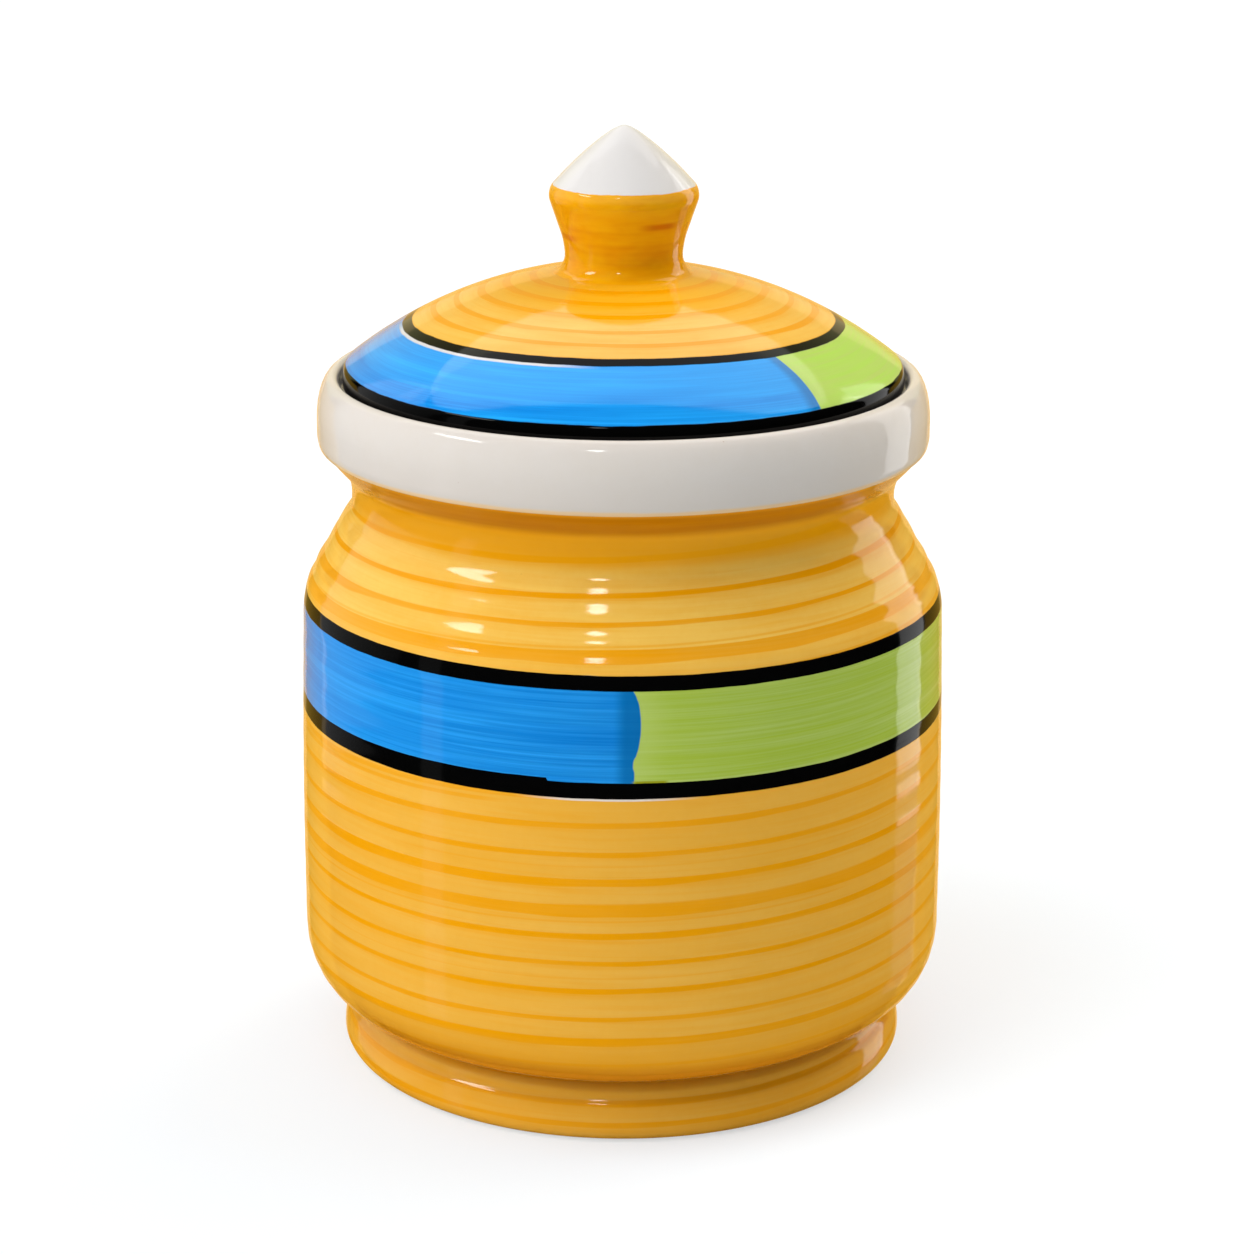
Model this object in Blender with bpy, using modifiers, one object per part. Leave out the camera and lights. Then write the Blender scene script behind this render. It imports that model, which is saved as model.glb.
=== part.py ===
"""A glazed ceramic pickle jar with a lift-off domed lid.

Lengths are in metres and +Z is up. The jar stands on the origin, centred on the Z axis.
Every piece is turned: an outline in (radius, height) pairs, swept round the axis by a Screw modifier.
An outline is a list of corners, and a corner's legs are the lengths rounded off before and after it.
"""

import math

import bpy
from mathutils import Vector

# Turning and fitting
SIDES = 48
FEWEST_STEPS = 3
STEP_LENGTH = 0.0038
DOME_STEPS = 6
SEAM = 0.0003
MERGE_DISTANCE = 0.00001

# Jar body
BELLY_RADIUS = 0.0650
WALL = 0.0050
FLOOR_THICKNESS = 0.0070
BELLY_RISE = 0.0849
LEAN_RISE = 0.0457
LEAN_LEG = 0.0170
SHOULDER_INSET = 0.0011
SHOULDER_LEG = 0.0045
UNDERSIDE_RISE = 0.0155
WAIST_INSET = 0.01195
WAIST_RISE = 0.02005
WAIST_LEG = 0.0057
NECK_RISE = 0.00885
THROAT_INSET = 0.0030
INNER_CORNER_LEG = 0.0220
INNER_SHOULDER_LEG = 0.0040

# Foot ring
FOOT_HEIGHT = 0.0121
GROOVE_INSET = 0.0104
FOOT_FLARE = 0.0023
FOOT_FLARE_DROP = 0.0026
FOOT_CURVE_LEG = 0.0050
TREAD_CURVE_LEG = 0.0032
TREAD_CURVE_INSET = 0.0034
TREAD_WIDTH = 0.0043
FOOT_RECESS = 0.0070

# Rim collar
LEDGE_WIDTH = 0.0070
COLLAR_WALL = 0.00455
COLLAR_RISE = 0.0132
COLLAR_FOOT_INSET = 0.0007
COLLAR_FOOT_TURN = 0.0010
COLLAR_FOOT_LEG = 0.0008
CREST_OUTER_LEG = 0.0086
CREST_INSET = 0.0013
CREST_INNER_LEG = 0.0014
LEDGE_DEPTH = 0.0034
LEDGE_LEG = 0.0005

# Lid dome
LID_CLEARANCE = 0.0007
LID_WALL = 0.0050
DOME_RISE = 0.0241
LID_EDGE_RISE = 0.0047
LID_EDGE_UPPER_LEG = 0.0018
LID_EDGE_LOWER_LEG = 0.0016
RIM_WIDTH = 0.0053

# Lid flange
FLANGE_CLEARANCE = 0.0008
FLANGE_WALL = 0.0043
FLANGE_DROP = 0.0085
FLANGE_LEG = 0.0009

# Lid knob
KNOB_HEIGHT = 0.0275
KNOB_WALL = 0.0040
TIP_WALL = 0.0080
NECK_RADIUS = 0.01145
NECK_HEIGHT = 0.0044
NECK_LEG = 0.0025
KNOB_SPREAD = 0.0040
KNOB_FILLET_LEG = 0.0030
KNOB_EDGE = 0.0004
KNOB_FLARE = 0.0035
KNOB_FLARE_RISE = 0.0103
KNOB_BROW_LEG = 0.0020
TIP_RADIUS = 0.0026

# Heights that the pieces share
BASE_TOP = FOOT_HEIGHT + SEAM
LEAN_HEIGHT = BASE_TOP + LEAN_RISE
SHOULDER_HEIGHT = BASE_TOP + BELLY_RISE
WAIST_HEIGHT = SHOULDER_HEIGHT + WAIST_RISE
NECK_TOP = WAIST_HEIGHT + NECK_RISE
COLLAR_BASE = NECK_TOP + SEAM
CREST_HEIGHT = COLLAR_BASE + COLLAR_RISE
LEDGE_HEIGHT = CREST_HEIGHT - LEDGE_DEPTH
LID_SEAT = LEDGE_HEIGHT + SEAM

# Radii that the pieces share
SHOULDER_RADIUS = BELLY_RADIUS - SHOULDER_INSET
WAIST_RADIUS = SHOULDER_RADIUS - WAIST_INSET
THROAT_RADIUS = WAIST_RADIUS - THROAT_INSET
GALLERY_RADIUS = THROAT_RADIUS + LEDGE_WIDTH
COLLAR_RADIUS = GALLERY_RADIUS + COLLAR_WALL
COLLAR_FOOT_RADIUS = COLLAR_RADIUS - COLLAR_FOOT_INSET
GROOVE_RADIUS = BELLY_RADIUS - GROOVE_INSET
FOOT_RADIUS = GROOVE_RADIUS + FOOT_FLARE
TREAD_RADIUS = FOOT_RADIUS - TREAD_CURVE_INSET
FOOT_BORE_RADIUS = TREAD_RADIUS - TREAD_WIDTH
LID_RADIUS = GALLERY_RADIUS - LID_CLEARANCE
FLANGE_RADIUS = THROAT_RADIUS - FLANGE_CLEARANCE
KNOB_BORE_RADIUS = NECK_RADIUS - KNOB_WALL

# Glaze colours, as red, green and blue
YELLOW_GLAZE = (0.72, 0.33, 0.03)
WHITE_GLAZE = (0.80, 0.76, 0.72)
BLUE_GLAZE = (0.02, 0.24, 0.62)
GLAZE_ROUGHNESS = 0.12
BARE_ROUGHNESS = 0.45


def clear_scene():
    for old in list(bpy.data.objects):
        bpy.data.objects.remove(old, do_unlink=True)


def rounded(corners):
    """The outline through these corners, each one (radius, height), then one leg for both sides, or two."""
    points = [Vector(corner[:2]) for corner in corners]
    outline = []
    for index, (point, corner) in enumerate(zip(points, corners)):
        legs = corner[2:]
        if not legs:
            outline.append(point)
            continue
        before = (points[index - 1] - point).normalized() * legs[0]
        after = (points[(index + 1) % len(points)] - point).normalized() * legs[-1]
        steps = max(FEWEST_STEPS, round(max(legs) / STEP_LENGTH))
        for step in range(steps + 1):
            turn = math.pi / 2 * step / steps
            outline.append(point + before * (1 - math.sin(turn)) + after * (1 - math.cos(turn)))
    return outline


def inset(corners, depth):
    """The corners of a line at this depth to the left of one that runs upwards."""
    points = [Vector(corner) for corner in corners]
    sides = []
    for start, end in zip(points, points[1:]):
        along = (end - start).normalized()
        sides.append(Vector((-along.y, along.x)))
    moved = [points[0] + sides[0] * depth]
    for point, first, second in zip(points[1:], sides, sides[1:]):
        moved.append(point + (first + second) * (depth / (1 + first.dot(second))))
    moved.append(points[-1] + sides[-1] * depth)
    return moved


def dome_radius():
    """The radius of the ball that the lid's top is cut from, through the apex and the lid's edge."""
    drop = DOME_RISE - LID_EDGE_RISE
    return (LID_RADIUS**2 + drop**2) / (2 * drop)


def dome_height(radius, depth):
    """The height above the lid's seat of the dome's surface, or of one at this depth below it."""
    ball = dome_radius()
    return DOME_RISE - ball + math.sqrt((ball - depth) ** 2 - radius**2)


def dome_arc(inner, outer, depth):
    """Points along the dome from one radius to the other, at this depth below its surface."""
    radii = [inner + (outer - inner) * step / DOME_STEPS for step in range(DOME_STEPS + 1)]
    return [Vector((radius, dome_height(radius, depth))) for radius in radii]


def jar_body_outline():
    """Up the inside from the floor, over the neck's top, then down the outside to the underside."""
    floor_height = FOOT_RECESS + FLOOR_THICKNESS
    outside = [
        (BELLY_RADIUS, BASE_TOP),
        (BELLY_RADIUS, LEAN_HEIGHT),
        (SHOULDER_RADIUS, SHOULDER_HEIGHT),
        (WAIST_RADIUS, WAIST_HEIGHT),
    ]
    low, lean, shoulder, vault = inset(outside, WALL)
    throat_share = (THROAT_RADIUS - shoulder.x) / (vault.x - shoulder.x)
    throat = shoulder.lerp(vault, throat_share)
    plug_radius = FOOT_BORE_RADIUS - SEAM
    return rounded(
        [
            (0, floor_height),
            (low.x, floor_height, INNER_CORNER_LEG),
            (lean.x, lean.y),
            (shoulder.x, shoulder.y, INNER_SHOULDER_LEG),
            (throat.x, throat.y, INNER_SHOULDER_LEG),
            (THROAT_RADIUS, NECK_TOP),
            (COLLAR_FOOT_RADIUS, NECK_TOP),
            (WAIST_RADIUS, WAIST_HEIGHT, WAIST_LEG),
            (SHOULDER_RADIUS, SHOULDER_HEIGHT, SHOULDER_LEG),
            (BELLY_RADIUS, LEAN_HEIGHT, LEAN_LEG),
            (BELLY_RADIUS, BASE_TOP, UNDERSIDE_RISE, GROOVE_INSET),
            (plug_radius, BASE_TOP),
            (plug_radius, FOOT_RECESS),
            (0, FOOT_RECESS),
        ]
    )


def foot_ring_outline():
    """Down the flared outside, under the tread and up the bore."""
    return rounded(
        [
            (GROOVE_RADIUS, FOOT_HEIGHT),
            (FOOT_RADIUS, FOOT_HEIGHT - FOOT_FLARE_DROP, FOOT_FLARE, FOOT_CURVE_LEG),
            (FOOT_RADIUS, 0, TREAD_CURVE_LEG, TREAD_CURVE_INSET),
            (FOOT_BORE_RADIUS, 0),
            (FOOT_BORE_RADIUS, FOOT_HEIGHT),
        ]
    )


def rim_collar_outline():
    """Over the crest from the lid's ledge, down the outside and up the throat, above the collar's base."""
    ledge = COLLAR_RISE - LEDGE_DEPTH
    crest_leg = COLLAR_RADIUS - GALLERY_RADIUS - CREST_INSET
    return rounded(
        [
            (THROAT_RADIUS, ledge, LEDGE_LEG),
            (GALLERY_RADIUS, ledge, LEDGE_LEG),
            (GALLERY_RADIUS, COLLAR_RISE, CREST_INNER_LEG, CREST_INSET),
            (COLLAR_RADIUS, COLLAR_RISE, crest_leg, CREST_OUTER_LEG),
            (COLLAR_RADIUS, COLLAR_FOOT_TURN, COLLAR_FOOT_LEG),
            (COLLAR_FOOT_RADIUS, 0),
            (THROAT_RADIUS, 0),
        ]
    )


def lid_dome_outline():
    """Down the dome from the knob's bore, round the edge and up the underside, above the lid's seat."""
    edge_height = dome_height(LID_RADIUS, 0)
    rim_radius = LID_RADIUS - RIM_WIDTH
    top = dome_arc(KNOB_BORE_RADIUS, LID_RADIUS - LID_EDGE_UPPER_LEG, 0)
    edge = rounded(
        [
            tuple(top[-1]),
            (LID_RADIUS, edge_height, LID_EDGE_UPPER_LEG / 2, LID_EDGE_UPPER_LEG),
            (LID_RADIUS, 0, LID_EDGE_LOWER_LEG),
            (rim_radius, 0),
        ]
    )
    underside = dome_arc(rim_radius, KNOB_BORE_RADIUS, LID_WALL)
    return top + edge[1:] + underside


def lid_flange_outline():
    """Down the outside from the dome's underside and up the inside, above the lid's seat."""
    inner_radius = FLANGE_RADIUS - FLANGE_WALL
    depth = LID_WALL + SEAM
    return rounded(
        [
            (inner_radius, dome_height(inner_radius, depth)),
            (FLANGE_RADIUS, dome_height(FLANGE_RADIUS, depth)),
            (FLANGE_RADIUS, -FLANGE_DROP, FLANGE_LEG),
            (inner_radius, -FLANGE_DROP, FLANGE_LEG),
        ]
    )


def lid_knob_outline():
    """Down the outside from the tip, along the dome to the bore and up the hollow, above the apex."""
    spread_radius = NECK_RADIUS + KNOB_SPREAD
    brow_radius = NECK_RADIUS + KNOB_FLARE
    brow_height = NECK_HEIGHT + KNOB_FLARE_RISE
    neck_seat = dome_height(NECK_RADIUS, -SEAM) - DOME_RISE
    spread_seat = dome_height(spread_radius, -SEAM) - DOME_RISE
    bore_seat = dome_height(KNOB_BORE_RADIUS, -SEAM) - DOME_RISE
    slant = Vector((TIP_RADIUS - brow_radius, KNOB_HEIGHT - brow_height))
    return rounded(
        [
            (0, KNOB_HEIGHT),
            (TIP_RADIUS, KNOB_HEIGHT, TIP_RADIUS, slant.length - KNOB_BROW_LEG),
            (brow_radius, brow_height, KNOB_BROW_LEG),
            (NECK_RADIUS, NECK_HEIGHT, NECK_LEG),
            (NECK_RADIUS, neck_seat + KNOB_EDGE, KNOB_FILLET_LEG, KNOB_SPREAD / 2),
            (spread_radius, spread_seat + KNOB_EDGE),
            (spread_radius, spread_seat),
            (KNOB_BORE_RADIUS, bore_seat),
            (KNOB_BORE_RADIUS, brow_height),
            (0, KNOB_HEIGHT - TIP_WALL),
        ]
    )


def glaze(name, colour, roughness):
    material = bpy.data.materials.new(name)
    material.use_nodes = True
    shader = material.node_tree.nodes["Principled BSDF"]
    shader.inputs["Base Color"].default_value = (*colour, 1)
    shader.inputs["Roughness"].default_value = roughness
    shader.inputs["Metallic"].default_value = 0
    material.diffuse_color = (*colour, 1)
    return material


def without_repeats(outline):
    """The outline without points that land on the one before."""
    kept = []
    for point in outline:
        if not kept or (point - kept[-1]).length > MERGE_DISTANCE:
            kept.append(point)
    return kept


def turned(name, outline, closed, material, holder, collection):
    """An object swept round the Z axis from an outline that runs down its outer side."""
    points = without_repeats(outline)
    edges = [(index, index + 1) for index in range(len(points) - 1)]
    if closed:
        edges.append((len(points) - 1, 0))
    mesh = bpy.data.meshes.new(name)
    mesh.from_pydata([(point.x, 0, point.y) for point in points], edges, [])
    piece = bpy.data.objects.new(name, mesh)
    collection.objects.link(piece)
    piece.parent = holder
    piece.data.materials.append(material)
    screw = piece.modifiers.new("turn", "SCREW")
    screw.axis = "Z"
    screw.steps = SIDES
    screw.render_steps = SIDES
    screw.use_merge_vertices = True
    screw.merge_threshold = MERGE_DISTANCE
    screw.use_smooth_shade = True
    return piece


def holder(name, height, collection):
    """An empty on the axis that carries the pieces which move together."""
    empty = bpy.data.objects.new(name, None)
    empty.location = (0, 0, height)
    collection.objects.link(empty)
    return empty


def main():
    clear_scene()
    collection = bpy.data.collections.new("pickle_jar")
    bpy.context.scene.collection.children.link(collection)
    yellow = glaze("yellow_glaze", YELLOW_GLAZE, GLAZE_ROUGHNESS)
    white = glaze("white_glaze", WHITE_GLAZE, GLAZE_ROUGHNESS)
    blue = glaze("blue_glaze", BLUE_GLAZE, GLAZE_ROUGHNESS)
    bare = glaze("pale_clay", WHITE_GLAZE, BARE_ROUGHNESS)

    jar = holder("jar", 0, collection)
    turned("jar_body", jar_body_outline(), False, yellow, jar, collection)
    turned("foot_ring", foot_ring_outline(), True, yellow, jar, collection)
    collar = turned("rim_collar", rim_collar_outline(), True, white, jar, collection)
    collar.location = (0, 0, COLLAR_BASE)

    lid = holder("lid", LID_SEAT, collection)
    turned("lid_dome", lid_dome_outline(), True, blue, lid, collection)
    turned("lid_flange", lid_flange_outline(), True, bare, lid, collection)
    knob = turned("lid_knob", lid_knob_outline(), False, yellow, lid, collection)
    knob.location = (0, 0, DOME_RISE)


main()
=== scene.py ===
# %% [markdown]
# # A painted pickle jar, piece by piece
# This lesson dresses a turned ceramic jar. The measured solids come first, as a fixed frame.
# Each potter's piece is then made again over its solid, with the marks of the wheel in its
# surface, and glazed with a paint that is worked out from numbers alone.

import math

import bmesh
import bpy
from mathutils import Matrix, Vector, noise
from mathutils.geometry import interpolate_bezier


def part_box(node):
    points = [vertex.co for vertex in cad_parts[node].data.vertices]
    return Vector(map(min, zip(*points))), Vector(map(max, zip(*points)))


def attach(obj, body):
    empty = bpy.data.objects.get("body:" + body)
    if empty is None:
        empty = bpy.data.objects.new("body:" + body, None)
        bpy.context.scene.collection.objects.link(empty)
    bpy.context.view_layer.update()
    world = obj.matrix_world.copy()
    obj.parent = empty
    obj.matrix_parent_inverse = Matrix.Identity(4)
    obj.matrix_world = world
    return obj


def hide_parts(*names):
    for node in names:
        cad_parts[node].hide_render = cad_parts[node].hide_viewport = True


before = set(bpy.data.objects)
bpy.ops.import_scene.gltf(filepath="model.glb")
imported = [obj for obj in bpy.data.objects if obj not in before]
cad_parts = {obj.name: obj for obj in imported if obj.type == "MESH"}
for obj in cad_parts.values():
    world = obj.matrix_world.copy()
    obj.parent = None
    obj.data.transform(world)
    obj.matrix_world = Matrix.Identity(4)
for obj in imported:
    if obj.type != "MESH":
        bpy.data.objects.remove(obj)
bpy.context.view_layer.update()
print("solids:", ", ".join(sorted(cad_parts)))

# %% [markdown]
# ## How a piece is turned
# On the wheel a piece gets its shape from one line, the profile, that goes round the axis.
# Here the profile is a few corners. A corner's legs say how far it is rounded off before and
# after it, and a Bezier curve draws the bend. Bmesh then spins the line into a closed skin.

# %% Draw a profile
CIRCLE_HANDLE = 0.5523
BEND_POINTS = 9
TURNS = 224
DOUBLINGS = 4
WELD = 0.000005
SHARP_ANGLE = math.radians(38)


def bent(corners, points=BEND_POINTS):
    """The line through (radius, height, leg before, leg after) corners, with its bends drawn."""
    places = [Vector((corner[0], 0, corner[1])) for corner in corners]
    line = []
    for index, (place, corner) in enumerate(zip(places, corners)):
        legs = corner[2:]
        if not legs:
            line.append(place)
            continue
        before, after = places[index - 1], places[(index + 1) % len(places)]
        start = place + (before - place).normalized() * legs[0]
        end = place + (after - place).normalized() * legs[-1]
        handles = start.lerp(place, CIRCLE_HANDLE), end.lerp(place, CIRCLE_HANDLE)
        line += interpolate_bezier(start, *handles, end, points)
    return line


def inset(corners, depth):
    """The corners of a line at this depth to the left of one that runs upwards."""
    points = [Vector(corner) for corner in corners]
    sides = []
    for start, end in zip(points, points[1:]):
        along = (end - start).normalized()
        sides.append(Vector((-along.y, along.x)))
    moved = [points[0] + sides[0] * depth]
    for point, first, second in zip(points[1:], sides, sides[1:]):
        moved.append(point + (first + second) * (depth / (1 + first.dot(second))))
    moved.append(points[-1] + sides[-1] * depth)
    return moved


# %% [markdown]
# ## From line to skin
# A wheel makes the whole round at once. Here a sixteenth of the turn is spun, and the wedge is
# copied and turned on until it closes, which is quick and leaves no seam. Where the shape is
# going to carry fine marks the line is cut into short edges first.

# %% Spin a profile into a piece
def turned(name, line, closed, fine, finest=0.0008, coarse=0.0030):
    """A closed skin spun from a line. Its edges are cut fine where the test says so."""
    bm = bmesh.new()
    spots = [bm.verts.new(point) for point in line]
    pairs = list(zip(spots, spots[1:])) + ([(spots[-1], spots[0])] if closed else [])
    edges = [bm.edges.new(pair) for pair in pairs if (pair[0].co - pair[1].co).length > WELD]
    for edge in edges:
        middle = (edge.verts[0].co + edge.verts[1].co) / 2
        cuts = int(edge.calc_length() / (finest if fine(middle) else coarse))
        if cuts:
            bmesh.ops.subdivide_edges(bm, edges=[edge], cuts=cuts)
    wedge = math.tau / 2**DOUBLINGS
    bmesh.ops.spin(
        bm, geom=bm.verts[:] + bm.edges[:], cent=(0, 0, 0), axis=(0, 0, 1),
        angle=wedge, steps=TURNS // 2**DOUBLINGS, use_merge=False, use_duplicate=False,
    )
    for doubling in range(DOUBLINGS):
        copy = bmesh.ops.duplicate(bm, geom=bm.verts[:] + bm.edges[:] + bm.faces[:])
        points = [item for item in copy["geom"] if isinstance(item, bmesh.types.BMVert)]
        turn = Matrix.Rotation(wedge * 2**doubling, 3, "Z")
        bmesh.ops.rotate(bm, verts=points, cent=(0, 0, 0), matrix=turn)
        bmesh.ops.remove_doubles(bm, verts=bm.verts, dist=WELD)
    bmesh.ops.recalc_face_normals(bm, faces=bm.faces)
    for edge in bm.edges:
        edge.smooth = edge.calc_face_angle(0) < SHARP_ANGLE
    for face in bm.faces:
        face.smooth = True
    return name, bm


def fired(piece, *materials):
    """The finished object of a turned piece, with its materials."""
    name, bm = piece
    mesh = bpy.data.meshes.new(name)
    bm.to_mesh(mesh)
    obj = bpy.data.objects.new(name, mesh)
    bpy.context.scene.collection.objects.link(obj)
    for material in materials:
        mesh.materials.append(material)
    open_edges = sum(not edge.is_manifold for edge in bm.edges)
    print(name, len(bm.faces), "faces,", open_edges, "open edges")
    bm.free()
    return obj


# %% [markdown]
# ## The marks of the wheel
# A thrown pot is never quite smooth. The potter's fingertip leaves a slow spiral of shallow
# ridges, and the hand adds a faint unevenness. Both are cut into the mesh, inwards only, so
# the jar never grows past its measured size, and the light finds them as it does on clay.

# %% Press the wheel marks into a skin
def looks_out(vert):
    """Whether a point of a skin looks away from the axis."""
    return vert.normal.x * vert.co.x + vert.normal.y * vert.co.y > 0


def groove(off):
    """The depth of a rounded groove: 1 in its middle and 0 from its edges, at -1 and 1, on."""
    return (1 + math.cos(math.pi * min(abs(off), 1))) / 2


def press(piece, depth_at):
    """Moves each point of a skin into the clay by depth_at(angle, radius, point)."""
    bm = piece[1]
    moves = []
    for vert in bm.verts:
        angle = math.atan2(vert.co.x, -vert.co.y)
        radius = math.hypot(vert.co.x, vert.co.y)
        moves.append((vert, depth_at(angle, radius, vert)))
    for vert, depth in moves:
        if depth:
            vert.co -= vert.normal * depth
    bm.normal_update()


def unevenness(point, size, seed):
    """From 0 to 1, a slow random swell that is the same each run."""
    return 0.5 + 0.5 * noise.noise(point / size + Vector((seed, seed, seed)))


# %% [markdown]
# ## The jar body
# The body is one turned wall: a round belly that leans in a little, a soft shoulder, a waist
# under the collar, and a floor. The outside is drawn from its corners, and the inside runs at
# one wall's thickness behind it.

# %% Measure the body from its solid
low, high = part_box("jar_body")
foot_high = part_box("foot_ring")[1]
collar_low, collar_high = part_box("rim_collar")
BELLY_RADIUS = high.x
RECESS_HEIGHT = low.z
NECK_TOP = high.z
BASE_TOP = foot_high.z + (collar_low.z - NECK_TOP)
SEAM = collar_low.z - NECK_TOP
print("belly radius", BELLY_RADIUS, "base", BASE_TOP, "neck top", NECK_TOP, "seam", SEAM)

WALL = 0.0050
FLOOR_THICKNESS = 0.0070
LEAN_HEIGHT = BASE_TOP + 0.0457
LEAN_LEG = 0.0170
SHOULDER_RADIUS = BELLY_RADIUS - 0.0011
SHOULDER_HEIGHT = BASE_TOP + 0.0849
SHOULDER_LEG = 0.0045
UNDERSIDE_RISE = 0.0138
GROOVE_INSET = 0.0109
GROOVE_RADIUS = BELLY_RADIUS - GROOVE_INSET
WAIST_RADIUS = SHOULDER_RADIUS - 0.01195
WAIST_HEIGHT = SHOULDER_HEIGHT + 0.02005
WAIST_LEG = 0.0057
COLLAR_FOOT_RADIUS = high.x - 0.0052
THROAT_RADIUS = WAIST_RADIUS - 0.0030
INNER_CORNER_LEG = 0.0220
INNER_SHOULDER_LEG = 0.0040
PLUG_RADIUS = 0.0489


# %% Turn the body
outside = [
    (BELLY_RADIUS, BASE_TOP),
    (BELLY_RADIUS, LEAN_HEIGHT),
    (SHOULDER_RADIUS, SHOULDER_HEIGHT),
    (WAIST_RADIUS, WAIST_HEIGHT),
]
inner_low, inner_lean, inner_shoulder, inner_vault = inset(outside, WALL)
throat = inner_shoulder.lerp(
    inner_vault, (THROAT_RADIUS - inner_shoulder.x) / (inner_vault.x - inner_shoulder.x)
)
floor_height = RECESS_HEIGHT + FLOOR_THICKNESS
body_line = bent([
    (0, floor_height),
    (inner_low.x, floor_height, INNER_CORNER_LEG),
    (inner_lean.x, inner_lean.y),
    (inner_shoulder.x, inner_shoulder.y, INNER_SHOULDER_LEG),
    (throat.x, throat.y, INNER_SHOULDER_LEG),
    (THROAT_RADIUS, NECK_TOP),
    (COLLAR_FOOT_RADIUS, NECK_TOP),
    (WAIST_RADIUS, WAIST_HEIGHT, WAIST_LEG),
    (SHOULDER_RADIUS, SHOULDER_HEIGHT, SHOULDER_LEG),
    (BELLY_RADIUS, LEAN_HEIGHT, LEAN_LEG),
    (BELLY_RADIUS, BASE_TOP, UNDERSIDE_RISE, GROOVE_INSET),
    (PLUG_RADIUS, BASE_TOP),
    (PLUG_RADIUS, RECESS_HEIGHT),
    (0, RECESS_HEIGHT),
])


def body_outside(point):
    return math.hypot(point.x, point.y) > THROAT_RADIUS + 0.0008 and point.z > BASE_TOP - WELD


body = turned("painted_body", body_line, False, body_outside)

# %% [markdown]
# ## Finger rings on the shoulder
# Where the potter drew the shoulder in, the fingertip left a few wider rings. They are at most
# three tenths of a millimetre deep, but they break the lamp's highlight up, so that the
# shoulder sparkles in short dashes and not in one long streak.

# %% Throw the ridges of the body
# Each ring: its height, its reach to either side and its depth.
PRESSED_RINGS = (
    (0.1004, 0.0021, 0.00030), (0.1045, 0.0032, 0.00020), (0.1088, 0.0022, 0.00004),
    (0.1136, 0.0027, 0.00018), (0.1206, 0.0026, 0.00008),
)
RING_CLIMB = 0.0022
RIDGE_PITCH = 0.0062
BELLY_RIDGE = 0.00004
SWELL_SIZE = 0.035
SWELL_DEPTH = 0.00003
MARKS_START = BASE_TOP + 0.0010
MARKS_END = NECK_TOP - 0.0008


def body_depth(angle, radius, vert):
    if not looks_out(vert) or vert.co.z < MARKS_START or vert.co.z > MARKS_END:
        return 0
    turn = vert.co.z / RIDGE_PITCH - angle / math.tau
    depth = BELLY_RIDGE * (1 - math.cos(math.tau * turn)) / 2
    swerve = math.sin(angle) * RING_CLIMB / math.tau
    for place, reach, pressed in PRESSED_RINGS:
        depth += pressed * groove((vert.co.z - place - swerve) / reach)
    return depth + SWELL_DEPTH * unevenness(vert.co, SWELL_SIZE, seed=3)


press(body, body_depth)

# %% [markdown]
# ## The foot ring
# The jar stands on a low flared ring with a bare tread. The clay was left unglazed where it
# stood on the kiln shelf. Its top tucks into a groove under the belly, where the glaze pools.

# %% Turn the foot
FOOT_HEIGHT = foot_high.z
FOOT_RADIUS = foot_high.x + 0.0006
ROLL_HEIGHT = 0.0079
ROLL_UPPER_LEG = 0.0040
ROLL_LOWER_LEG = 0.0050
TREAD_CURVE_LEG = 0.0026
TREAD_CURVE_INSET = 0.0034
FOOT_BORE_RADIUS = PLUG_RADIUS + SEAM
FOOT_PLAIN_WIDTH = 0.0045
TUCK = 0.0009
foot_line = bent([
    (GROOVE_RADIUS - TUCK * 2, BASE_TOP + TUCK),
    (FOOT_RADIUS, ROLL_HEIGHT, ROLL_UPPER_LEG, ROLL_LOWER_LEG),
    (FOOT_RADIUS, 0, TREAD_CURVE_LEG, TREAD_CURVE_INSET),
    (FOOT_BORE_RADIUS, 0),
    (FOOT_BORE_RADIUS, FOOT_HEIGHT),
    (GROOVE_RADIUS - TUCK * 2, FOOT_HEIGHT),
])
foot = turned(
    "foot", foot_line, True, lambda point: point.x > FOOT_BORE_RADIUS + FOOT_PLAIN_WIDTH, finest=0.0004
)
FOOT_RING_HEIGHT = 0.0088
FOOT_RING_REACH = 0.0014
FOOT_RING_DEPTH = 0.00034
FOOT_MARKS_START = 0.0015
FOOT_MARKS_END = FOOT_HEIGHT - 0.0008


def foot_depth(angle, radius, vert):
    if not looks_out(vert) or vert.co.z < FOOT_MARKS_START or vert.co.z > FOOT_MARKS_END:
        return 0
    depth = FOOT_RING_DEPTH * groove((vert.co.z - FOOT_RING_HEIGHT) / FOOT_RING_REACH)
    return depth + SWELL_DEPTH * unevenness(vert.co, SWELL_SIZE, seed=7)


press(foot, foot_depth)

# %% [markdown]
# ## The rim collar
# A thick white roll runs round the mouth. Inside it is a ledge, the gallery, that carries the
# lid, so the lid sits sunk in the collar. The roll is rounded over outside and has a soft lip.

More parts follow.
